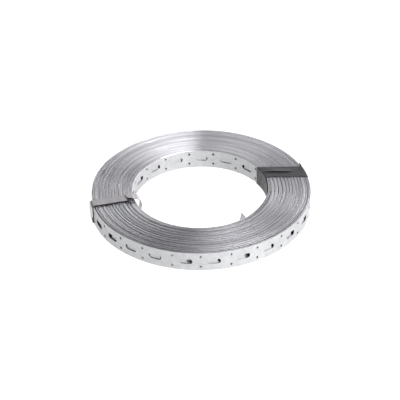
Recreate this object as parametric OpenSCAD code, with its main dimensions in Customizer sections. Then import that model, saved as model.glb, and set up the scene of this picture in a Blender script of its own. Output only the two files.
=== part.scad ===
// Coil of perforated steel strip, lying flat, held together by a tie strap and a wrap of tape.
// Units are millimetres. Z is up along the axis of the coil, and Z = 0 is the floor that the
// undersides of the tie strap and the tape rest on. The front of the coil is -Y.

/* [Coil] */
// Diameter over the last turn
coil_od = 220; // [160:1:320]
// Diameter inside the first turn
coil_id = 137; // [80:0.5:200]
// Number of turns between the two diameters
turns = 44; // [20:1:80]
// Depth of the groove that shows between two turns on the ends
turn_groove = 0.35; // [0.1:0.05:0.8]

/* [Strip] */
// Width of the strip, which is the height of the coil
strip_w = 20; // [12:0.5:40]
// Thickness of the strip
strip_t = 0.7; // [0.5:0.1:1.5]

/* [Perforation] */
// Length of a slot over its round ends
slot_l = 13; // [8:0.5:25]
// Width of a slot
slot_w = 5.5; // [3:0.5:12]
// Diameter of the small holes between the slots
hole_d = 2.5; // [1.5:0.1:6]
// Distance between the centres of a pair of small holes
hole_gap = 11.5; // [6:0.5:30]
// Angle from one pair of holes to the next on the outer turn
outer_step = 15; // [10:0.5:30]
// Pairs of holes on the outer turn
outer_pairs = 24; // [4:1:36]
// Angle from one pair of holes to the next on the inner turn
inner_step = 22; // [10:0.5:40]
// Pairs of holes on the inner turn
inner_pairs = 16; // [4:1:36]
// Direction of the first slot on the inner turn, counted from +X
inner_first = 89; // [0:0.5:360]

/* [Inner end of the strip] */
// Direction of the bent end, counted from +X
end_angle = -49; // [-180:1:180]
// Distance of the bent end from the coil's axis at its upper corner
end_r_top = 60.5; // [30:0.5:90]
// Distance of the bent end from the coil's axis at its lower corner
end_r_bottom = 52; // [30:0.5:90]
// Inside radius of the bend
end_bend = 2; // [0.5:0.1:5]
// Distance of the bent end's edges from those of the turns
end_trim = 0.1; // [0.05:0.05:1]

/* [Tie strap] */
// Direction of the strap, counted from +X
strap_angle = 192.5; // [0:0.5:360]
// Width of the strap
strap_w = 9.5; // [6:0.5:20]
// Thickness of the strap
strap_t = 0.4; // [0.2:0.1:1]
// Gap between the strap and the outer turn
strap_out = 2.6; // [0.5:0.1:6]
// Gap between the strap and the inner turn
strap_in = 6.1; // [0.5:0.1:12]
// Corner radius of the strap outside the coil
strap_r_out = 2.4; // [0.3:0.1:5]
// Corner radius of the strap in the bore
strap_r_in = 5; // [0.3:0.1:8]
// Distance that the strap's end laps over the top of the coil
strap_lap = 8.5; // [2:0.5:30]

/* [Tape] */
// Width of the tape
tape_w = 19; // [10:0.5:50]
// Thickness of the layers of tape together
tape_t = 0.4; // [0.1:0.1:2]
// Distance of the middle of the tape behind the coil's axis
tape_y = 26.5; // [-60:0.5:60]

/* [Hidden] */
eps = 0.01;
ro = coil_od / 2;
ri = coil_id / 2;
pitch = (ro - ri) / turns;
mouth = pitch - strip_t;
// the ties lie under the coil, so it starts one tie's thickness above the floor
z0 = max(strap_t, tape_t);
z1 = z0 + strip_w;
zm = (z0 + z1) / 2;
// direction where the round walls start and end, clear of every slot and hole
seam = 11.2;

// ---------- strip ----------

// Half of the section's outline along one end, from the bore outwards: flat lands, one a turn,
// with a V groove between them that goes s * turn_groove into the coil.
function end_line(z, s) = [
    for (i = [0 : turns - 1], k = [0 : 2])
        if (k < 2 || i < turns - 1)
            k == 0 ? [ri + i * pitch + (i > 0 ? mouth / 2 : 0), z]
          : k == 1 ? [ri + (i + 1) * pitch - (i < turns - 1 ? mouth / 2 : 0), z]
          : [ri + (i + 1) * pitch, z + s * turn_groove]
];

function reversed(v) = [for (i = [len(v) - 1 : -1 : 0]) v[i]];

module ring() {
    rotate([0, 0, seam]) rotate_extrude($fn = 180)
        polygon(concat(end_line(z0, 1), reversed(end_line(z1, -1))));
}

// One slot as a prism along +X, from r0 to r1 from the axis.
module slot(r0, r1) {
    half = (slot_l - slot_w) / 2;
    translate([r0, -half, zm - slot_w / 2]) cube([r1 - r0, 2 * half, slot_w]);
    for (s = [-1, 1])
        translate([r0, s * half, zm]) rotate([0, 90, 0])
            cylinder(d = slot_w, h = r1 - r0, $fn = 48);
}

// A pair of small holes, one above the other.
module hole_pair(r0, r1) {
    for (s = [-1, 1])
        translate([r0, 0, zm + s * hole_gap / 2]) rotate([0, 90, 0])
            cylinder(d = hole_d, h = r1 - r0, $fn = 36);
}

// The perforation of the last turn, one strip thickness deep.
module outer_perforation() {
    intersection() {
        rotate([0, 0, seam]) difference() {
            translate([0, 0, z0 - 1]) cylinder(r = ro + 3, h = strip_w + 2, $fn = 180);
            translate([0, 0, z0 - 2]) cylinder(r = ro - strip_t, h = strip_w + 4, $fn = 180);
        }
        union() for (i = [0 : outer_pairs - 1]) {
            rotate([0, 0, -90 + i * outer_step]) hole_pair(ro - 2, ro + 2);
            rotate([0, 0, -90 + (i + 0.5) * outer_step]) slot(ro - 2, ro + 2);
        }
    }
}

// Angle between a direction and the bent end, from 0 to 180.
function off_end(a) = let (d = (((a - end_angle) % 360) + 360) % 360) min(d, 360 - d);

// The perforation of the first turn, seen from the bore. The bend takes up what comes next to it.
module inner_perforation() {
    intersection() {
        rotate([0, 0, seam]) translate([0, 0, z0 - 1])
            cylinder(r = ri + strip_t, h = strip_w + 2, $fn = 180);
        union() for (i = [0 : 2 * inner_pairs - 1]) {
            a = inner_first + (i / 2 - inner_pairs / 2) * inner_step;
            if (i % 2 == 0 && off_end(a) > 10) rotate([0, 0, a]) slot(ri - 2, ri + 2);
            if (i % 2 == 1 && off_end(a) > 3) rotate([0, 0, a]) hole_pair(ri - 2, ri + 2);
        }
    }
}

// The strip's inner end, bent into the bore and cut off at a slant. Its edges stand end_trim back
// from those of the turns.
module inner_end() {
    a = z0 + end_trim;
    b = z1 - end_trim;
    rotate([0, 0, end_angle]) {
        translate([0, strip_t, 0]) rotate([90, 0, 0]) linear_extrude(strip_t)
            polygon([[ri + 0.4, a], [ri + 0.4, b], [end_r_top, b], [end_r_bottom, a]]);
        // the inside of the bend: the strip goes on clockwise from here
        difference() {
            translate([ri - end_bend, eps - end_bend, a]) cube([end_bend + 0.4, end_bend, b - a]);
            translate([ri - 0.87 * end_bend, -0.87 * end_bend, z0 - 1])
                cylinder(r = end_bend, h = strip_w + 2, $fn = 48);
        }
    }
}

module strip_coil() {
    color([0.70, 0.71, 0.72]) union() {
        difference() {
            ring();
            outer_perforation();
            inner_perforation();
        }
        inner_end();
    }
}

// ---------- tie strap ----------

function arc(cx, cy, r, a0, a1) = [
    for (i = [0 : 8]) let (a = a0 + (a1 - a0) * i / 8) [cx + r * cos(a), cy + r * sin(a)]
];

// Outline of the strap's loop, grown by g from the loop's inside.
function loop(g) = let (
    u0 = ri - strap_in - g, u1 = ro + strap_out + g,
    b = z0 - g, t = z1 + g,
    p = strap_r_in + g, q = strap_r_out + g
) concat(
    arc(u0 + p, b + p, p, 180, 270),
    arc(u1 - q, b + q, q, 270, 360),
    arc(u1 - q, t - q, q, 0, 90),
    arc(u0 + p, t - p, p, 90, 180)
);

module tie_strap() {
    color([0.62, 0.62, 0.63]) rotate([0, 0, strap_angle]) {
        // the loop around the coil
        translate([0, strap_w / 2, 0]) rotate([90, 0, 0]) linear_extrude(strap_w)
            difference() {
                polygon(loop(strap_t));
                polygon(loop(0));
            }
        // the strap's end, lapped over the loop
        intersection() {
            translate([0, strap_w / 2, 0]) rotate([90, 0, 0]) linear_extrude(strap_w)
                difference() {
                    polygon(loop(2 * strap_t));
                    polygon(loop(strap_t));
                }
            translate([0, -strap_w, zm]) cube([ri + strap_lap, 2 * strap_w, strip_w]);
        }
    }
}

// ---------- tape ----------

module tape_wrap() {
    color([0.13, 0.13, 0.14]) intersection() {
        difference() {
            translate([0, 0, z0 - tape_t])
                cylinder(r = ro + tape_t, h = strip_w + 2 * tape_t, $fn = 180);
            translate([0, 0, -1]) cylinder(r = ri - tape_t, h = strip_w + 4, $fn = 180);
            difference() {
                translate([0, 0, z0]) cylinder(r = ro, h = strip_w, $fn = 180);
                translate([0, 0, -1]) cylinder(r = ri, h = strip_w + 4, $fn = 180);
            }
        }
        translate([0, tape_y - tape_w / 2, -1]) cube([ro + 5, tape_w, strip_w + 5]);
    }
}

strip_coil();
tie_strap();
tape_wrap();
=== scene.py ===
import math
import random
from collections import namedtuple

import bmesh
import bpy
from mathutils import Matrix, Vector
from mathutils.geometry import delaunay_2d_cdt


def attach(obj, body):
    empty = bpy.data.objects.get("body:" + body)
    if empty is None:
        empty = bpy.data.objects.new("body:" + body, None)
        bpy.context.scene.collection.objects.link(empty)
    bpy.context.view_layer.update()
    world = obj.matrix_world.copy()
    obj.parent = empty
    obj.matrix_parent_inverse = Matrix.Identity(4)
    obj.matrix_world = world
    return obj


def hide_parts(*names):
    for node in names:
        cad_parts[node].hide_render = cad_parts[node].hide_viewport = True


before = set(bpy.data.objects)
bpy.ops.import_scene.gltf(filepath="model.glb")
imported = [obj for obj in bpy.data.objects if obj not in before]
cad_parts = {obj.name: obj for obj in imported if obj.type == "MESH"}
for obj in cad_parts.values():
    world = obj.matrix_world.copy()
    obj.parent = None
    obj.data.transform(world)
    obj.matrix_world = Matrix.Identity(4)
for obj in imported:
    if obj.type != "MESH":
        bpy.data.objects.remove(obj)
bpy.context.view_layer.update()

MM = 0.001
RND = random.Random(4711)

# ---------------------------------------------------------------- sizes, in millimetres
W, T = 20.0, 0.7  # strip width and thickness
RI, RO = 68.5, 110.45  # radius in the bore, and over the strip's outer end
ZC = 10.4  # middle of the coil's height
CH = 0.13  # rounding of the strip's lower edges
END_A = -50.2  # direction of the bent inner end, degrees from +X
OUT_A = 193.5  # direction of the strip's outer end, under the tie strap
SLOT_L, SLOT_W, HOLE_D, HOLE_GAP = 13.3, 5.5, 2.5, 11.5


def smooth(x):
    x = min(1.0, max(0.0, x))
    return x * x * (3 - 2 * x)


def apart(a, b):
    """Angle from b to a, -180 to 180."""
    return (a - b + 180.0) % 360.0 - 180.0


def bump(a, centre, width):
    return math.exp(-((apart(a, centre) / width) ** 2))


class Noise:
    """Smooth periodic noise over an angle in degrees: a few sine waves with fixed phases."""

    def __init__(self, rnd, waves, amp):
        self.w = [(n, rnd.uniform(0, 2 * math.pi), rnd.uniform(0.5, 1.0)) for n in waves]
        self.k = amp / sum(a for _, _, a in self.w)

    def __call__(self, a):
        a = math.radians(a)
        return self.k * sum(m * math.sin(n * a + p) for n, p, m in self.w)


# ---------------------------------------------------------------- the wound strip
# w is the winding angle in degrees. The strip starts at the bent end, w = 0, and winds clockwise
# outwards, turn over turn, until it ends under the tie strap.
W0 = math.degrees(2.0 / RI)
W_END = 43 * 360.0 + (END_A - OUT_A) % 360.0
NT = int(W_END / 360.0) + 1

# Distance from each turn to the next. Turns lie in bundles of three or four, with a wider gap
# between bundles.
bundle, steps = [], []
n, left = 0, 3
for k in range(NT + 3):
    bundle.append(n)
    left -= 1
    if left:
        steps.append(RND.uniform(0.715, 0.74))
    else:
        steps.append(RND.uniform(1.45, 1.75))
        n, left = n + 1, RND.randint(3, 4)
steps[38:46] = [0.80, 0.82, 1.45, 0.85, 0.95, 1.0, 0.95, 0.95]
bundle[38:46] = [n, n, n, n + 1, n + 1, n + 2, n + 2, n + 2]
steps[:4] = [0.95, 0.9, 1.25, 0.8]
bundle[:4] = [0, 0, 0, bundle[4]]
low = 0.715
mean = (RO - T - RI) / (W_END / 360.0)
scale = (mean - low) / (sum(steps[:NT]) / NT - low)
steps = [low + (s - low) * scale for s in steps]
base = [0.0]
for s in steps:
    base.append(base[-1] + s)

# Height of each bundle against the middle, and of each turn in it. Most neighbours stand proud of
# each other in turn.
lift, side = [], 1
for i in range(n + 4):
    lift.append(side * RND.uniform(0.02, 0.14))
    if RND.random() < 0.88:
        side = -side
turn_lift = [lift[b] + RND.uniform(-0.13, 0.13) for b in bundle]
wave_z = [Noise(RND, (1, 2), 0.10) for _ in range(n + 4)]
turn_z = [Noise(RND, (1, 2, 3), 0.05) for _ in bundle]
wave_r = [Noise(RND, (1, 2, 3), 0.06) for _ in range(n + 4)]
# Size of the small bevel on each turn's outer edge. It is larger on the last turn of a bundle, which
# stands free.
bevel = [RND.uniform(0.10, 0.16) if b != c else RND.uniform(0.018, 0.03) for b, c in zip(bundle, bundle[1:] + [-1])]


def turn_of(w):
    k = max(0, min(NT + 1, int(w // 360.0)))
    return k, w / 360.0 - k


def near(a, centre, half, soft):
    return 1.0 - smooth((abs(apart(a, centre)) - half) / soft)


def r_in(w):
    """Radius of the strip's inner face."""
    k, f = turn_of(w)
    a = END_A - w
    r = base[k] + steps[k] * f
    # the gaps between bundles are open at the left front and beside the tape, and nearly closed at
    # the back
    open_ = 0.35 + 0.65 * near(a, 225.0, 35.0, 22.0) + 0.45 * near(a, -65.0, 25.0, 25.0)
    open_ = min(1.0, open_ + 0.4 * near(a, 20.0, 24.0, 18.0))
    even = mean * (k + f)
    r = even + (r - even) * max(open_, smooth((w - W_END + 1500.0) / 300.0), smooth((1500.0 - w) / 300.0))
    q = r / (RO - RI)
    # bundles are not quite round, and the outer turns bulge to the right
    g = smooth(f)
    wob = wave_r[bundle[k]](a) * (1 - g) + wave_r[bundle[k + 1]](a) * g
    r += STRETCH * (wob * smooth(w / 1080.0) * smooth((W_END - w) / 720.0))
    r += 1.3 * bump(a, -12.0, 27.0) * q * q
    # the first turns stand away from the rest on the right, and the last one springs off at its end
    r -= 0.7 * max(0.0, (1250.0 - w) / 360.0) * bump(a, -24.0, 19.0) * smooth((w - 20.0) / 200.0)
    r += 0.75 * smooth((w - W_END + 40.0) / 24.0)
    r += 0.5 * near(a, 172.0, 16.0, 16.0) * smooth((w - W_END + 395.0) / 20.0)
    return RI + r


def z_off(w):
    """Lift of the strip at this point. Over the ties it keeps clear of them."""
    k, f = turn_of(w)
    a = END_A - w
    g = smooth(f)
    lo_ = turn_lift[k] + wave_z[bundle[k]](a) + turn_z[k](a)
    hi_ = turn_lift[k + 1] + wave_z[bundle[k + 1]](a) + turn_z[k + 1](a)
    v = min(0.38, max(-0.38, lo_ * (1 - g) + hi_ * g))
    # the turns lie most uneven beside the strap and at the front
    front = near(a, -70.0, 22.0, 20.0)
    v *= 0.7 + 1.2 * front
    v = min(0.38 + 0.2 * front, max(-0.38, v))
    v *= 1.0 - 0.65 * smooth((w - W_END + 1750.0) / 400.0)
    v *= 1.0 - 0.65 * smooth((420.0 - w) / 200.0)
    # next to the bent end, the turn behind it stands up a little
    v += 0.8 * math.exp(-(((w - 350.0) / 9.0) ** 2))
    # the first turns lie low at the front left
    low_ = near(a, -116.0, 40.0, 24.0)
    v += low_ * (0.16 * math.exp(-(((w - 1640.0) / 260.0) ** 2)) - 0.5 * (1.0 - smooth((w - 150.0) / 1250.0)))
    v = max(-0.38, v)
    t = max(near(a, OUT_A, 4.0, 14.0), near(a, 20.0, 13.0, 14.0))
    floor_z, roof_z = -0.38 * (1 - t), 0.38 - 0.2 * t
    return floor_z + (v + 0.38) * (roof_z - floor_z) / 0.76


STRETCH = 1.0


def place(w, off, v):
    """A point of the strip: w along it, off through its thickness from the bore, v up from its middle."""
    r = r_in(w) + off
    a = math.radians(END_A - w)
    return Vector((r * math.cos(a), r * math.sin(a), ZC + v + z_off(w)))


HI, HB = W / 2 - 0.34, W / 2 - CH


def section(w):
    """The strip's section as (off, v), from the lower corner in the bore. Slitting left its upper edge
    well rounded towards the bore and sharper on the outside."""
    k, f = turn_of(w)
    g = smooth(f)
    c = bevel[k] * (1 - g) + bevel[k + 1] * g
    return [
        (0.0, -HB), (0.0, HI), (0.05, W / 2 - 0.20), (0.15, W / 2 - 0.11), (0.34, W / 2 - 0.05),
        (T - c, W / 2), (T, W / 2 - 1.1 * c), (T, -HB), (T - CH, -W / 2), (CH, -W / 2),
    ]


NS = 10
HV = 9.8  # half width of the flat part that holds the perforation


def obround(cx, length, width, n):
    """Outline of a slot: x along the strip, y across."""
    h, r = (length - width) / 2, width / 2
    pts = []
    for i in range(n + 1):
        a = -math.pi / 2 + math.pi * i / n
        pts.append((cx + h + r * math.cos(a), r * math.sin(a)))
    for i in range(n + 1):
        a = math.pi / 2 + math.pi * i / n
        pts.append((cx - h + r * math.cos(a), r * math.sin(a)))
    return pts


def circle(cx, cy, r, n):
    return [(cx + r * math.cos(2 * math.pi * i / n), cy + r * math.sin(2 * math.pi * i / n)) for i in range(n)]


def deg_range(a, b, step):
    n = max(1, round((b - a) / step))
    return [a + (b - a) * i / n for i in range(n + 1)]


Pt = namedtuple("Pt", "x y")


class Strip:
    def __init__(self):
        self.v, self.f, self.index = [], [], {}

    def vert(self, p):
        key = (round(p.x, 4), round(p.y, 4), round(p.z, 4))
        i = self.index.get(key)
        if i is None:
            i = self.index[key] = len(self.v)
            self.v.append(p)
        return i

    def face(self, *ids):
        ids = [a for a, b in zip(ids, ids[1:] + ids[:1]) if a != b]
        if len(ids) > 2:
            self.f.append(tuple(ids))

    def plain(self, rings):
        """Joins rings of section points along the strip."""
        idx = [[self.vert(p) for p in ring] for ring in rings]
        for a, b in zip(idx, idx[1:]):
            for i in range(NS):
                j = (i + 1) % NS
                self.face(a[i], a[j], b[j], b[i])

    def cap(self, ring, flip):
        ids = [self.vert(p) for p in ring]
        self.face(*(ids[::-1] if flip else ids))

    def perforated(self, columns, slots, pairs):
        """A stretch of strip from columns[0] to columns[-1] (w in degrees) with slots and pairs of
        small holes cut right through it."""
        k = (r_in((columns[0] + columns[-1]) / 2) + T / 2) * math.pi / 180  # mm for each degree
        c0 = columns[0]
        x_of = [(c - c0) * k for c in columns]
        outlines = []
        for s in slots:
            outlines.append(obround((s - c0) * k, SLOT_L, SLOT_W, 7))
        for p in pairs:
            for q in (-1, 1):
                outlines.append(circle((p - c0) * k, q * HOLE_GAP / 2, HOLE_D / 2, 10))
        pts, edges = [], []
        n = len(columns)
        for x in x_of:
            pts.append((x, -HV))
        for x in x_of:
            pts.append((x, HV))
        for i in range(n - 1):
            edges.append((i, i + 1))
            edges.append((n + i, n + i + 1))
        edges.append((0, n))
        edges.append((n - 1, 2 * n - 1))
        for o in outlines:
            b = len(pts)
            pts += o
            edges += [(b + i, b + (i + 1) % len(o)) for i in range(len(o))]
        grid = []
        for x in x_of[1:-1]:
            for y in (-8.4, -3.7, 3.7, 8.4):
                ok = True
                for s in slots:
                    dx = max(0.0, abs(x - (s - c0) * k) - (SLOT_L - SLOT_W) / 2)
                    if math.hypot(dx, y) < SLOT_W / 2 + 0.5:
                        ok = False
                for p in pairs:
                    if math.hypot(x - (p - c0) * k, abs(y) - HOLE_GAP / 2) < HOLE_D / 2 + 0.5:
                        ok = False
                if ok:
                    grid.append((x, y))
        pts += grid
        cv, es, fs, orig, *_ = delaunay_2d_cdt([Vector(p) for p in pts], edges, [], 1, 1e-4)
        # the triangulation works in single precision, so its points are read back from the input
        vs = [Pt(*pts[o[0]]) if o else Pt(p.x, p.y) for p, o in zip(cv, orig)]

        def hole(x, y):
            for s in slots:
                dx = max(0.0, abs(x - (s - c0) * k) - (SLOT_L - SLOT_W) / 2)
                if math.hypot(dx, y) < SLOT_W / 2 - 0.02:
                    return True
            for p in pairs:
                if math.hypot(x - (p - c0) * k, abs(y) - HOLE_GAP / 2) < HOLE_D / 2 * 0.93:
                    return True
            return False

        def at(x, y, off):
            if abs(y - HV) < 1e-4:
                y = section(c0 + x / k)[6][1] if off else HI
            elif abs(y + HV) < 1e-4:
                y = -HB
            return self.vert(place(c0 + x / k, off, y))

        inner = [at(p.x, p.y, 0.0) for p in vs]
        outer = [at(p.x, p.y, T) for p in vs]
        used = {}
        for tri in fs:
            cx = sum(vs[i].x for i in tri) / len(tri)
            cy = sum(vs[i].y for i in tri) / len(tri)
            if hole(cx, cy):
                continue
            tri = list(tri)
            a, b, c = (vs[i] for i in tri[:3])
            if (b.x - a.x) * (c.y - a.y) - (b.y - a.y) * (c.x - a.x) < 0:
                tri.reverse()
            self.face(*[outer[i] for i in reversed(tri)])
            self.face(*[inner[i] for i in tri])
            for i, j in zip(tri, tri[1:] + tri[:1]):
                used[(i, j)] = True
        for (i, j) in used:
            if (j, i) in used:
                continue
            yi, yj = vs[i].y, vs[j].y
            if abs(abs(yi) - HV) < 1e-4 and abs(abs(yj) - HV) < 1e-4 and abs(yi - yj) < 1e-3:
                continue  # the long edges get their rounding below
            xi, xj = vs[i].x, vs[j].x
            if abs(xi - xj) < 1e-4 and (abs(xi) < 1e-4 or abs(xi - x_of[-1]) < 1e-4):
                continue  # the ends join the next stretch
            self.face(outer[i], outer[j], inner[j], inner[i])
        # rounded long edges: all sides of the section but its two faces
        rings = [[self.vert(place(c, o, v)) for o, v in section(c)] for c in columns]
        for a, b in zip(rings, rings[1:]):
            for i in range(NS):
                if i in (0, 6):
                    continue
                j = (i + 1) % NS
                self.face(a[i], a[j], b[j], b[i])


strip = Strip()
# the bent end: from its slanted cut to the bend, then round the bend on to the first turn
BEND = 2.0
ca, sa = math.cos(math.radians(END_A)), math.sin(math.radians(END_A))


def local(x, y, z):
    return Vector((x * ca - y * sa, x * sa + y * ca, z))


lift0 = z_off(W0)
rings = []
for t in [i / 6 for i in range(7)]:
    ring = []
    for off, v in section(0.0):
        tip = 59.9 - 6.0 * max(0.0, W / 2 - 0.8 - v) / W + 0.9 * max(0.0, v - W / 2 + 0.8)
        x = tip + (RI - BEND - tip) * t
        # the end leans a little to the right, and is not quite flat
        lean = 0.24 * (RI - BEND - x)
        bow = 0.5 * math.sin(math.pi * t) * (v / W)
        ring.append(local(x, off + lean - bow, ZC + v + lift0))
    rings.append(ring)
first = rings[0]
for i in range(1, 7):
    a = -math.pi / 2 + math.pi / 2 * i / 6
    ring = []
    for off, v in section(0.0):
        rr = BEND + off
        ring.append(local(RI - BEND + rr * math.cos(a), -(BEND + rr * math.sin(a)), ZC + v + lift0))
    rings.append(ring)
strip.plain(rings)
strip.cap(first, True)


def ring_at(w):
    return [place(w, o, v) for o, v in section(w)]


strip.plain([rings[-1], ring_at(W0)])

INNER = 4  # perforated turns on the bore side
OUTER = 5  # and on the outside
in_end = W0 + 360.0 * INNER
out_start = W_END - 360.0 * OUTER


def to_w(theta, a):
    """Winding angle, in the turn that starts at a, of a direction counted from +X."""
    return a + (END_A - theta - a) % 360.0


# perforation seen from the bore: slots every 22 degrees, and the slots of the turns behind lie next
# to them, so that only one end of each is open; directions count from the front here
IN_BEHIND = {157.0: -12.9, 179.0: -9.7, 201.0: -9.5, 223.0: -8.9, 245.0: -8.2}
IN_PAIRS = {146.0: 147.3, 168.0: 168.5, 190.0: 189.6, 212.0: 211.6, 234.0: 233.5}
for turn in range(INNER):
    a = W0 + 360.0 * turn
    b = a + 360.0
    slots, pairs = [], []
    for m in range(-6, 11):
        az = (179.0 + 22.0 * m) % 360.0
        d = 0.0
        if turn:
            d = IN_BEHIND.get(az, -12.1 + 0.0345 * (min(260.0, max(100.0, az)) - 135.0)) + 0.3 * (turn - 1)
        s = to_w(az + d - 90.0, a)
        q = (az + 11.0) % 360.0
        # the holes behind lie a little to the side, towards the back of the coil
        d = 0.79 * turn * math.tan(math.radians(180.0 - q)) if 118.0 < q < 242.0 else 0.0
        p = to_w(IN_PAIRS.get(q, q) + d - 90.0, a)
        if a + 8.0 < s < b - 8.0:
            slots.append(s)
        if a + 3.0 < p < b - 3.0:
            pairs.append(p)
    strip.perforated(deg_range(a, b, 2.75), sorted(slots), sorted(pairs))

# the turns between have the same section; their perforation can't be seen
strip.plain([ring_at(c) for c in deg_range(in_end, out_start, 3.0)])

# outside: slots and pairs of holes at about 14.6 degrees, not quite even, and the slots of the turns
# behind lie at one end of them; each row is slot, pair after it, and how far the slot behind is off
OUT_ROWS = [
    (-78.2, -71.4, 10.8), (-64.7, -58.1, 8.9), (-51.1, -44.7, 6.9), (-37.9, -30.7, 7.9),
    (-23.7, -14.7, 6.0), (-7.9, -0.5, 3.8), (6.2, 14.9, 5.1), (21.5, 29.0, 3.7),
    (35.9, 44.6, 5.4), (51.7, 58.7, 4.4), (66.4, 73.6, 4.4),
]
OUT_ROWS += [(66.4 + 14.36 * k, 73.6 + 14.36 * k, 4.4 + 0.43 * k) for k in range(1, 15)]
for turn in range(OUTER):
    depth = OUTER - 1 - turn
    a = out_start + 360.0 * turn
    b = a + 360.0
    slots, pairs = [], []
    for sa_, pa_, d in OUT_ROWS:
        d = d + 0.25 * (depth - 1) if depth else 0.0
        # at the front, the turns behind cover part of the small holes
        e = (1.0 if pa_ < -10.0 else 0.45) if depth and -35.0 < pa_ < 50.0 else 0.0
        s, p = to_w(sa_ + d - 90.0, a), to_w(pa_ + e - 90.0, a)
        if a + 4.5 < s < b - 4.5:
            slots.append(s)
        if a + 1.5 < p < b - 1.5:
            pairs.append(p)
    strip.perforated(deg_range(a, b, 2.5), sorted(slots), sorted(pairs))
strip.cap(ring_at(W_END), False)


def make(name, verts, faces, crisp=False):
    me = bpy.data.meshes.new(name)
    me.from_pydata([v * MM for v in verts], [], faces)
    me.validate()
    ob = bpy.data.objects.new(name, me)
    bpy.context.scene.collection.objects.link(ob)
    bm = bmesh.new()
    bm.from_mesh(me)
    bmesh.ops.recalc_face_normals(bm, faces=bm.faces)
    for f in bm.faces:
        f.smooth = True
    for e in bm.edges:
        if len(e.link_faces) != 2:
            continue
        n1, n2 = e.link_faces[0].normal, e.link_faces[1].normal
        turn = math.degrees(n1.angle(n2, 0.0))
        # on the strip, its flat faces keep their own shading up to the rounded edges
        flat = crisp and (abs(n1.z) < 0.08) != (abs(n2.z) < 0.08)
        e.smooth = turn < (8.0 if flat else 40.0 if crisp else 55.0)
    bm.to_mesh(me)
    bm.free()
    me.update()
    return ob


coil = make("perforated_strip", strip.v, strip.f, True)

# ---------------------------------------------------------------- sweep for the ties


def sweep(name, path, thick, edge, shape, along):
    """A band along a path of (point, outward normal, across, travel), thick to the outside. For row i
    and place s from -1 to 1 across, edge gives the half width, shape the bend outwards and along a
    shift in the direction of travel."""
    nw = 20
    v, f = [], []
    for i, (p, n, c, t) in enumerate(path):
        row = []
        for j in range(nw + 1):
            s = -1 + 2 * j / nw
            row.append(p + c * (s * edge(i, s)) + n * shape(i, s) + t * along(i, s))
        # the cut edges are undercut
        ends = [c * (-0.2)] + [c * 0.0] * (nw - 1) + [c * 0.2]
        v += row + [q + n * thick + e for q, e in zip(row, ends)]
    st, o, m = 2 * (nw + 1), nw + 1, len(path)
    for i in range(m - 1):
        a, b = i * st, (i + 1) * st
        for j in range(nw):
            f.append((a + j, a + j + 1, b + j + 1, b + j))
            f.append((a + o + j, b + o + j, b + o + j + 1, a + o + j + 1))
        f.append((a, b, b + o, a + o))
        f.append((a + nw, a + o + nw, b + o + nw, b + nw))
    for a, flip in ((0, False), ((m - 1) * st, True)):
        for j in range(nw):
            q = (a + j, a + o + j, a + o + j + 1, a + j + 1)
            f.append(q[::-1] if flip else q)
    return make(name, v, f)


def arc(cx, cz, r, a0, a1, n):
    return [(cx + r * math.cos(math.radians(a0 + (a1 - a0) * i / n)), cz + r * math.sin(math.radians(a0 + (a1 - a0) * i / n))) for i in range(n + 1)]


def dense(pts, step):
    out = [pts[0]]
    for p, q in zip(pts, pts[1:]):
        d = math.hypot(q[0] - p[0], q[1] - p[1])
        n = max(1, int(math.ceil(d / step)))
        for i in range(1, n + 1):
            out.append((p[0] + (q[0] - p[0]) * i / n, p[1] + (q[1] - p[1]) * i / n))
    return out


# ---------------------------------------------------------------- tie strap
ST = 0.38
TOP = 21.55  # underside of the strap over the coil, which it clears a little
STRAP_A = 193.9
SU = Vector((math.cos(math.radians(STRAP_A)), math.sin(math.radians(STRAP_A)), 0))
SV = Vector((-math.sin(math.radians(STRAP_A)), math.cos(math.radians(STRAP_A)), 0))
UP = Vector((0, 0, 1))
# inside line of the loop as (distance from the axis, height): from under the lap, over the top to
# the outside, down, under the coil, up in the bore, and back over the start as the lap
line = []
line += [(70.5, TOP - 0.25), (78, TOP - 0.05), (90, TOP), (108.5, TOP - 0.1)]
line += arc(109.6, TOP - 3.25, 3.15, 88, 8, 8)
line += [(113.05, 14.5), (113.0, 10.5), (112.7, 6.5)]
line += arc(109.9, 3.1, 2.75, -4, -88, 8)
line += [(108, 0.385), (90, 0.385), (72, 0.385)]
line += arc(68.4, 5.4, 5.0, -92, -176, 8)
line += [(62.7, 10.5), (62.3, 15.0)]
line += arc(67.9, 16.5, 5.3, 176, 92, 9)
line += [(70.5, TOP + 1.2), (74.0, TOP + 1.15), (77.8, TOP + 1.1)]
line = dense(line, 1.0)
mstrap = len(line)
rise = max(i for i, (u, z) in enumerate(line) if u < 63.0 and z < 15.2)


def drift(i):
    """Sideways place of the loop: the lap swings to the front in the bore, then to the back on top."""
    d = 0.25 * math.sin(i * 0.055)
    q = (i - rise + 6) / (mstrap - 1 - rise + 6)
    if q > 0:
        d += 1.4 * smooth(q / 0.4) - 3.4 * smooth((q - 0.25) / 0.9) / smooth(0.75 / 0.9)
    return d


pts3 = [SU * u + UP * z + SV * drift(i) for i, (u, z) in enumerate(line)]
path = []
for i, (u, z) in enumerate(line):
    k0, k1 = max(0, i - 1), min(mstrap - 1, i + 1)
    tu, tz = line[k1][0] - line[k0][0], line[k1][1] - line[k0][1]
    l = math.hypot(tu, tz) or 1.0
    n2 = SU * (-tz / l) + UP * (tu / l)  # left of travel is outside: the loop runs clockwise
    t = (pts3[k1] - pts3[k0]).normalized()
    c = n2.cross(t).normalized()
    if c.dot(SV) < 0:
        c = -c
    path.append((pts3[i], n2, c, t))


def strap_edge(i, s):
    return 4.75 - 0.45 * smooth((14 - (mstrap - 1 - i)) / 8) + 0.08 * math.sin(i * 0.21 + s)


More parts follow.
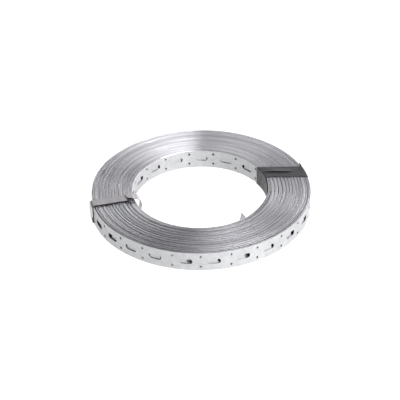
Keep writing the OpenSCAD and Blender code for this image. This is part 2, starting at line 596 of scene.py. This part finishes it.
def strap_shape(i, s):
    tail = mstrap - 1 - i
    h = 0.07 * (1 - s * s) * math.sin(i * 0.31) * smooth((path[i][0].z - 0.5) / 3.0)
    # the lap is twisted, with its front edge up, and its end is bent up
    return h + 0.6 * s * smooth((13 - tail) / 8) + 0.30 * smooth((1.6 - tail) / 1.6)


def strap_along(i, s):
    # the lap is cut off at a slant
    return -2.6 * (s + 1) / 2 * smooth((7 - (mstrap - 1 - i)) / 7)


strap = sweep("tie_band", path, ST, strap_edge, strap_shape, strap_along)

# ---------------------------------------------------------------- tape
TW, TT = 18.6, 0.32
TY = 26.2
ZT, ZB = 20.62, 0.36  # inside of the tape, above and below


def tape_line(y):
    """Inside line of the tape's loop in the plane at this y, as (x, z)."""
    xi = math.sqrt((RI - 0.06) ** 2 - y * y)
    xo = math.sqrt((RO + 0.5) ** 2 - y * y)
    c = 0.35
    pts = arc(xi + c, ZT - c, c, 180, 90, 4)
    pts += [(xi + (xo - xi) * i / 60, ZT) for i in range(1, 60)]
    pts += arc(xo - c, ZT - c, c, 90, 0, 4)
    pts += [(xo, ZT - (ZT - ZB) * i / 14) for i in range(1, 14)]
    pts += arc(xo - c, ZB + c, c, 0, -90, 4)
    pts += [(xo - (xo - xi) * i / 20, ZB) for i in range(1, 20)]
    pts += arc(xi + c, ZB + c, c, 270, 180, 4)
    pts += [(xi, ZB + (ZT - ZB) * i / 14) for i in range(1, 14)]
    return pts


def crease(x, y, x0, x1, y0, slope, high, wide):
    """Height of a small ridge from x0 to x1 along y0 + slope * (x - x0)."""
    k = smooth((x - x0) / 4.0) * smooth((x1 - x) / 4.0)
    return high * k * math.exp(-(((y - y0 - slope * (x - x0)) / wide) ** 2))


def wrinkle(x, y):
    """Height of the tape's wrinkles where it lies over the coil."""
    w = 0.05 * math.sin(0.9 * x + 0.4 * y) * math.sin(0.7 * y + 1.0)
    w += crease(x, y, 64.0, 84.0, 19.2, 0.10, 0.42, 0.55)
    w += crease(x, y, 62.0, 78.0, 23.2, -0.09, 0.38, 0.5)
    w += crease(x, y, 70.0, 95.0, 22.3, 0.03, 0.25, 0.45)
    w += crease(x, y, 60.0, 80.0, 30.5, 0.03, 0.22, 0.7)
    w += crease(x, y, 59.0, 76.0, 33.2, -0.02, 0.25, 0.6)
    w += crease(x, y, 74.0, 100.0, 34.0, 0.01, 0.25, 0.8)
    return w


NWT = 60
cols_t = []
M = len(tape_line(TY))
for j in range(NWT + 1):
    s = -1 + 2 * j / NWT
    y = TY + s * TW / 2
    col = []
    for i, (x, z) in enumerate(tape_line(y)):
        # in the bore and on its way back under the coil, the tape runs slanted to the front
        g = 0.0
        if i >= M - 17 or i < 2:
            g = min(1.0, max(0.0, (ZT - z) / 6.0))
        elif i > M - 38:
            g = smooth((i - M + 37) / 20.0)
        yy = y - 10.5 * g * ((1 - s) / 2) ** 1.4
        x = x - math.sqrt((RI - 0.06) ** 2 - y * y) + math.sqrt((RI - 0.06) ** 2 - yy * yy) if g and i > M - 38 else x
        col.append((x, yy, z))
    cols_t.append(col)
tv, tf = [], []
jag = [0.35 * math.sin(i * 1.1) + 0.25 * math.sin(i * 0.43 + 1) for i in range(M)]
for i in range(M):
    for layer in (0, 1):
        for j in range(NWT + 1):
            x, y, z = cols_t[j][i]
            a, b = cols_t[j][(i - 1) % M], cols_t[j][(i + 1) % M]
            tx, tz = b[0] - a[0], b[2] - a[2]
            l = math.hypot(tx, tz) or 1.0
            nx, nz = -tz / l, tx / l
            if j == 0:
                y += jag[i] * 0.8
            if j == NWT:
                y -= jag[(i * 3) % M] * 0.35
            w = wrinkle(x, y) * smooth(i / 6.0) if i < 62 else 0.0
            if i >= M - 14:  # slack folds in the bore, under the rim
                w = 0.18 * math.sin(0.8 * y + 0.25 * z) * math.sin(math.pi * (i - M + 14) / 14.0) - 0.1
            off = (TT if layer else 0.0) + w
            tv.append(Vector((x + nx * off, y, z + nz * off)))
st = 2 * (NWT + 1)
for i in range(M):
    a, b = i * st, ((i + 1) % M) * st
    o = NWT + 1
    for j in range(NWT):
        tf.append((a + j, a + j + 1, b + j + 1, b + j))
        tf.append((a + o + j, b + o + j, b + o + j + 1, a + o + j + 1))
    tf.append((a, b, b + o, a + o))
    tf.append((a + NWT, a + o + NWT, b + o + NWT, b + NWT))


def sheet(rows, thick):
    """Adds a thin closed sheet to the tape from rows of points, thick upwards."""
    base_i, n, m = len(tv), len(rows[0]), len(rows)
    for row in rows:
        tv.extend(row)
        tv.extend(q + UP * thick for q in row)
    for r in range(m - 1):
        a, b = base_i + r * 2 * n, base_i + (r + 1) * 2 * n
        for j in range(n - 1):
            tf.append((a + j, a + j + 1, b + j + 1, b + j))
            tf.append((a + n + j, b + n + j, b + n + j + 1, a + n + j + 1))
        tf.append((a, b, b + n, a + n))
        tf.append((a + n - 1, a + 2 * n - 1, b + 2 * n - 1, b + n - 1))
    for a, flip in ((base_i, False), (base_i + (m - 1) * 2 * n, True)):
        for j in range(n - 1):
            q = (a + j, a + n + j, a + n + j + 1, a + j + 1)
            tf.append(q[::-1] if flip else q)


# the tape's last layer: its front edge stands up along the middle
rows = []
for i in range(41):
    k = i / 40
    x = 63.0 + 31.5 * k
    row = []
    for j in range(13):
        b = j / 12
        y = 25.6 + 0.25 * math.sin(7 * k) + 0.3 * k + (8.6 - 0.25 * math.sin(7 * k)) * b
        up_ = 0.95 * smooth(k / 0.22) * smooth((1 - k) / 0.15) * (1 - 0.2 * math.sin(9 * k)) * (1 - b) ** 1.6
        row.append(Vector((x, y, ZT + TT + wrinkle(x, y) + 0.03 + up_)))
    rows.append(row)
sheet(rows, 0.15)
# a torn corner that stands up at the back
rows = []
for i in range(5):
    k = i / 4
    c = Vector((103.9 - 1.5 * k, 35.4 + 0.5 * k, ZT + 0.2 + 4.0 * k))
    half = 0.45 * (1 - k) + 0.5
    rows.append([c + Vector((-half, -0.1, 0)), c + Vector((half, 0.1, 0))])
sheet([[q + Vector((0, 0.1, 0)) for q in r] for r in rows], 0.25)
tape = make("wrapped_tape", tv, tf)

# ---------------------------------------------------------------- materials


def nodes_of(name):
    m = bpy.data.materials.new(name)
    m.use_nodes = True
    nt = m.node_tree
    return m, nt, nt.nodes["Principled BSDF"]


def add(nt, kind, **vals):
    n = nt.nodes.new(kind)
    for k, v in vals.items():
        if hasattr(n, k):
            setattr(n, k, v)
        else:
            n.inputs[k].default_value = v
    return n


def ramp(nt, fac, stops):
    r = nt.nodes.new("ShaderNodeValToRGB")
    el = r.color_ramp.elements
    while len(el) < len(stops):
        el.new(0.5)
    for e, (p, c) in zip(el, stops):
        e.position = p
        e.color = (*c, 1.0)
    nt.links.new(fac, r.inputs["Fac"])
    return r


def steel(name, dark, light, rough, edge_dark, edge_light, edge_rough):
    """Zinc-coated faces with a fine spangle, and bare, brighter edges where the strip was slit. Along
    the edges the tone changes from turn to turn."""
    m, nt, b = nodes_of(name)
    L = nt.links
    co = add(nt, "ShaderNodeTexCoord")
    vor = add(nt, "ShaderNodeTexVoronoi")
    vor.inputs["Scale"].default_value = 240.0
    L.new(co.outputs["Object"], vor.inputs["Vector"])
    noi = add(nt, "ShaderNodeTexNoise")
    noi.inputs["Scale"].default_value = 90.0
    noi.inputs["Detail"].default_value = 4.0
    L.new(co.outputs["Object"], noi.inputs["Vector"])
    mix = add(nt, "ShaderNodeMix", data_type="FLOAT")
    mix.inputs["Factor"].default_value = 0.35
    L.new(noi.outputs["Fac"], mix.inputs["A"])
    L.new(vor.outputs["Distance"], mix.inputs["B"])
    face = ramp(nt, mix.outputs["Result"], [(0.25, dark), (0.7, light)])
    # polar coordinates, so that streaks follow the turns
    sep = add(nt, "ShaderNodeSeparateXYZ")
    L.new(co.outputs["Object"], sep.inputs["Vector"])
    xy = add(nt, "ShaderNodeCombineXYZ")
    L.new(sep.outputs["X"], xy.inputs["X"])
    L.new(sep.outputs["Y"], xy.inputs["Y"])
    rad = add(nt, "ShaderNodeVectorMath", operation="LENGTH")
    L.new(xy.outputs["Vector"], rad.inputs[0])
    ang = add(nt, "ShaderNodeVectorMath", operation="NORMALIZE")
    L.new(xy.outputs["Vector"], ang.inputs[0])
    turns = add(nt, "ShaderNodeMath", operation="MULTIPLY")
    turns.inputs[1].default_value = 900.0
    L.new(rad.outputs["Value"], turns.inputs[0])
    spread = add(nt, "ShaderNodeVectorMath", operation="MULTIPLY_ADD")
    spread.inputs[1].default_value = (0.7, 0.7, 0.0)
    lift = add(nt, "ShaderNodeCombineXYZ")
    L.new(turns.outputs["Value"], lift.inputs["Z"])
    L.new(ang.outputs["Vector"], spread.inputs[0])
    L.new(lift.outputs["Vector"], spread.inputs[2])
    streak = add(nt, "ShaderNodeTexNoise")
    streak.inputs["Scale"].default_value = 1.0
    streak.inputs["Detail"].default_value = 2.0
    L.new(spread.outputs["Vector"], streak.inputs["Vector"])
    edge = ramp(nt, streak.outputs["Fac"], [(0.34, edge_dark), (0.66, edge_light)])
    # edges are where the surface turns up or down
    geo = add(nt, "ShaderNodeNewGeometry")
    nz = add(nt, "ShaderNodeSeparateXYZ")
    L.new(geo.outputs["Normal"], nz.inputs["Vector"])
    up = add(nt, "ShaderNodeMath", operation="ABSOLUTE")
    L.new(nz.outputs["Z"], up.inputs[0])
    mask = add(nt, "ShaderNodeMapRange")
    mask.inputs["From Min"].default_value = 0.12
    mask.inputs["From Max"].default_value = 0.4
    L.new(up.outputs["Value"], mask.inputs["Value"])
    col = add(nt, "ShaderNodeMix", data_type="RGBA")
    L.new(mask.outputs["Result"], col.inputs["Factor"])
    L.new(face.outputs["Color"], col.inputs["A"])
    L.new(edge.outputs["Color"], col.inputs["B"])
    L.new(col.outputs["Result"], b.inputs["Base Color"])
    r1 = add(nt, "ShaderNodeMapRange")
    r2 = add(nt, "ShaderNodeMapRange")
    for r, src, (lo_, hi_) in ((r1, noi, rough), (r2, streak, edge_rough)):
        r.inputs["From Min"].default_value = 0.3
        r.inputs["From Max"].default_value = 0.7
        r.inputs["To Min"].default_value = lo_
        r.inputs["To Max"].default_value = hi_
        L.new(src.outputs["Fac"], r.inputs["Value"])
    # the outer bevels are rougher than the rest of the edges
    out = add(nt, "ShaderNodeVectorMath", operation="DOT_PRODUCT")
    L.new(geo.outputs["Normal"], out.inputs[0])
    L.new(ang.outputs["Vector"], out.inputs[1])
    outer = add(nt, "ShaderNodeMapRange")
    outer.inputs["From Min"].default_value = 0.3
    outer.inputs["From Max"].default_value = 0.55
    L.new(out.outputs["Value"], outer.inputs["Value"])
    burr = add(nt, "ShaderNodeMix", data_type="FLOAT")
    L.new(outer.outputs["Result"], burr.inputs["Factor"])
    L.new(r2.outputs["Result"], burr.inputs["A"])
    burr.inputs["B"].default_value = 0.42
    rmix = add(nt, "ShaderNodeMix", data_type="FLOAT")
    L.new(mask.outputs["Result"], rmix.inputs["Factor"])
    L.new(r1.outputs["Result"], rmix.inputs["A"])
    L.new(burr.outputs["Result"], rmix.inputs["B"])
    L.new(rmix.outputs["Result"], b.inputs["Roughness"])
    b.inputs["Metallic"].default_value = 1.0
    fine = add(nt, "ShaderNodeTexNoise")
    fine.inputs["Scale"].default_value = 1400.0
    fine.inputs["Detail"].default_value = 2.0
    L.new(co.outputs["Object"], fine.inputs["Vector"])
    bp = add(nt, "ShaderNodeBump")
    bp.inputs["Strength"].default_value = 0.06
    bp.inputs["Distance"].default_value = 0.0002
    L.new(fine.outputs["Fac"], bp.inputs["Height"])
    L.new(bp.outputs["Normal"], b.inputs["Normal"])
    return m


galv = steel(
    "galvanised_steel", (0.479, 0.483, 0.496), (0.582, 0.587, 0.596), (0.50, 0.62),
    (0.48, 0.476, 0.51), (0.73, 0.724, 0.765), (0.25, 0.20),
)
band = steel(
    "strap_steel", (0.47, 0.453, 0.47), (0.56, 0.54, 0.56), (0.30, 0.42),
    (0.45, 0.434, 0.45), (0.54, 0.52, 0.54), (0.30, 0.42),
)

pvc, nt, b = nodes_of("tape_pvc")
co = add(nt, "ShaderNodeTexCoord")
n1 = add(nt, "ShaderNodeTexNoise")
n1.inputs["Scale"].default_value = 220.0
n1.inputs["Detail"].default_value = 5.0
nt.links.new(co.outputs["Object"], n1.inputs["Vector"])
c1 = ramp(nt, n1.outputs["Fac"], [(0.3, (0.025, 0.025, 0.0275)), (0.75, (0.042, 0.042, 0.0465))])
nt.links.new(c1.outputs["Color"], b.inputs["Base Color"])
b.inputs["Roughness"].default_value = 0.42
bp = add(nt, "ShaderNodeBump")
bp.inputs["Strength"].default_value = 0.25
bp.inputs["Distance"].default_value = 0.0004
nt.links.new(n1.outputs["Fac"], bp.inputs["Height"])
nt.links.new(bp.outputs["Normal"], b.inputs["Normal"])

coil.data.materials.append(galv)
strap.data.materials.append(band)
tape.data.materials.append(pvc)

for ob, node, slot in ((coil, "strip_coil", "strip_steel"), (strap, "tie_strap", "strap_steel"), (tape, "tape_wrap", "tape")):
    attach(ob, "root")
    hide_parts(node)

# ---------------------------------------------------------------- floor and light
me = bpy.data.meshes.new("floor")
S = 40.0
me.from_pydata([(-S, -S, 0), (S, -S, 0), (S, S, 0), (-S, S, 0)], [], [(0, 1, 2, 3)])
floor = bpy.data.objects.new("floor", me)
bpy.context.scene.collection.objects.link(floor)
fm, nt, b = nodes_of("pale_floor")
b.inputs["Base Color"].default_value = (0.25, 0.25, 0.25, 1)
b.inputs["Roughness"].default_value = 0.9
b.inputs["Specular IOR Level"].default_value = 0.0
b.inputs["Emission Color"].default_value = (1, 1, 1, 1)
# the floor glows a little, so that it stays white; where the coil lies on it there is no emission, a painted shade
# under the coil
co = add(nt, "ShaderNodeTexCoord")
dist = add(nt, "ShaderNodeVectorMath", operation="LENGTH")
nt.links.new(co.outputs["Object"], dist.inputs[0])
away = add(nt, "ShaderNodeMath", operation="SUBTRACT")
away.inputs[1].default_value = (RI + RO) / 2 * MM
nt.links.new(dist.outputs["Value"], away.inputs[0])
side_ = add(nt, "ShaderNodeMath", operation="ABSOLUTE")
nt.links.new(away.outputs["Value"], side_.inputs[0])
# no emission over the ring under the coil: painted shade
glow_with_painted_shade = add(nt, "ShaderNodeMath", operation="GREATER_THAN")
glow_with_painted_shade.inputs[1].default_value = ((RO - RI) / 2 - 1.0) * MM
nt.links.new(side_.outputs["Value"], glow_with_painted_shade.inputs[0])
nt.links.new(glow_with_painted_shade.outputs["Value"], b.inputs["Emission Strength"])
me.materials.append(fm)

world = bpy.data.worlds.new("studio")
bpy.context.scene.world = world
world.use_nodes = True
bg = world.node_tree.nodes["Background"]
bg.inputs["Color"].default_value = (0.95, 0.97, 1.0, 1)
bg.inputs["Strength"].default_value = 0.02


def area(name, loc, target, sx, sy, watts):
    li = bpy.data.lights.new(name, "AREA")
    li.shape = "RECTANGLE"
    li.size, li.size_y = sx, sy
    li.energy = watts
    ob = bpy.data.objects.new(name, li)
    ob.location = loc
    d = Vector(target) - Vector(loc)
    ob.rotation_euler = d.to_track_quat("-Z", "Y").to_euler()
    bpy.context.scene.collection.objects.link(ob)
    return ob


# softboxes: a row of them at the front right is the key light, and the rest stand over the coil and
# behind it
for name, loc, target, sx, sy, level in (
    ("key_low", (0.95, -2.05, 0.45), (0.0, 0.0, 0.0), 1.2, 0.4, 9.3),
    ("key_middle", (0.95, -2.05, 0.9), (0.0, 0.0, 0.0), 1.2, 0.5, 1.7),
    ("key_right", (1.8, -1.4, 0.8), (0.0, 0.0, 0.0), 1.2, 0.6, 19.3),
    ("low_right", (1.7, -1.5, 0.2), (0.0, 0.0, 0.2), 2.4, 0.36, 5.1),
    ("corner_right", (1.9, 1.6, 0.55), (0.0, 0.0, 0.2), 1.6, 1.0, 6.1),
    ("top_right", (0.52, 0.0, 1.6), (0.52, 0.0, 0.0), 0.9, 1.0, 2.06),
    ("top_right_back", (0.52, 1.05, 1.6), (0.52, 1.05, 0.0), 0.9, 1.1, 1.64),
    ("top_right_front", (0.52, -1.05, 1.6), (0.52, -1.05, 0.0), 0.9, 1.1, 4.28),
    ("top_left", (-0.52, 0.0, 1.6), (-0.52, 0.0, 0.0), 0.9, 1.0, 0.75),
    ("top_left_back", (-0.52, 1.05, 1.6), (-0.52, 1.05, 0.0), 0.9, 1.1, 1.18),
    ("back_high", (-0.6, 2.0, 1.5), (0.0, 0.0, 0.0), 1.0, 0.6, 0.55),
    ("back_right", (1.1, 2.6, 0.8), (1.1, 0.0, 0.8), 2.0, 1.6, 1.55),
    ("back_left", (-1.1, 2.6, 0.8), (-1.1, 0.0, 0.8), 2.0, 1.6, 1.0),
):
    area(name, loc, target, sx, sy, math.pi * sx * sy * level)

# ---------------------------------------------------------------- camera
E = math.radians(34.663)
DIST = 12.2135 * 110.0 * MM
ROLL = math.radians(-0.768)
cam = bpy.data.cameras.new("camera")
cam.lens = 1323.59 * 36.0 / 400.0
cam.sensor_width = 36.0
cam.shift_x = -(200.642 - 200.0) / 400.0
cam.shift_y = -(200.0 - 195.635) / 400.0
cob = bpy.data.objects.new("camera", cam)
bpy.context.scene.collection.objects.link(cob)
fw = Vector((0, math.cos(E), -math.sin(E)))
rt = Vector((1, 0, 0))
up = Vector((0, math.sin(E), math.cos(E)))
cx_ = rt * math.cos(ROLL) + up * math.sin(ROLL)
cy_ = rt * -math.sin(ROLL) + up * math.cos(ROLL)
rot = Matrix((cx_, cy_, -fw)).transposed()
cob.matrix_world = Matrix.Translation(Vector((0, 0, ZC * MM)) - fw * DIST) @ rot.to_4x4()
cam.clip_end = 50
bpy.context.scene.camera = cob
bpy.context.scene.view_settings.view_transform = "Standard"
